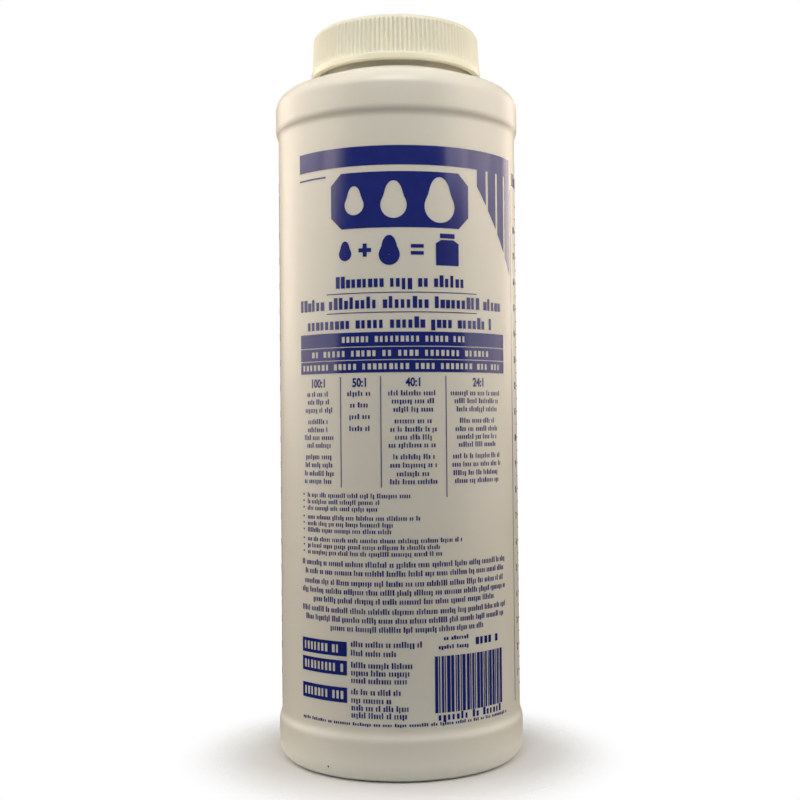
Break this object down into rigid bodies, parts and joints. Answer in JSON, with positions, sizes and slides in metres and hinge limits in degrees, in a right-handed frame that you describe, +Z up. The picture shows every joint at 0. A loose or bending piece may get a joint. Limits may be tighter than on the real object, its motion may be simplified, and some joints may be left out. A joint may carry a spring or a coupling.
{
  "type": "fuel mixing bottle",
  "caption": "Wide-mouth milky plastic mixing bottle with a printed label panel between two bumper bands and a ribbed screw cap on a threaded neck",
  "frame": {"origin": "centre of the ring that the bottle stands on, on the ground plane", "axes": "+Z up along the bottle's axis; the middle of the printed panel faces -Y; +X is to its right"},
  "size_m": [0.08, 0.08, 0.2366],
  "materials": {
    "bottle_plastic": "milky translucent blow-moulded polyethylene with a soft sheen, screen printed in blue",
    "cap_plastic": "opaque white moulded polypropylene, satin, fine vertical ribs",
    "liner_foam": "white closed-cell foam sealing disc"
  },
  "bodies": {
    "bottle": {"bottle": "bottle_plastic"},
    "liner": {"cap_liner": "liner_foam"},
    "cap": {"cap": "cap_plastic"}
  },
  "joints": [
    {"name": "cap_rise", "type": "slide", "parent": "bottle", "child": "liner", "axis": [0, 0, 1], "range_m": [0, 0.00636]},
    {"name": "cap_turn", "type": "hinge", "parent": "liner", "child": "cap", "pos_m": [0, 0, 0.23], "axis": [0, 0, 1], "range_deg": [0, 540]}
  ],
  "couplings": [
    {"joint": "cap_rise", "follows": "cap_turn", "m_per_rad": 0.0006737}
  ]
}
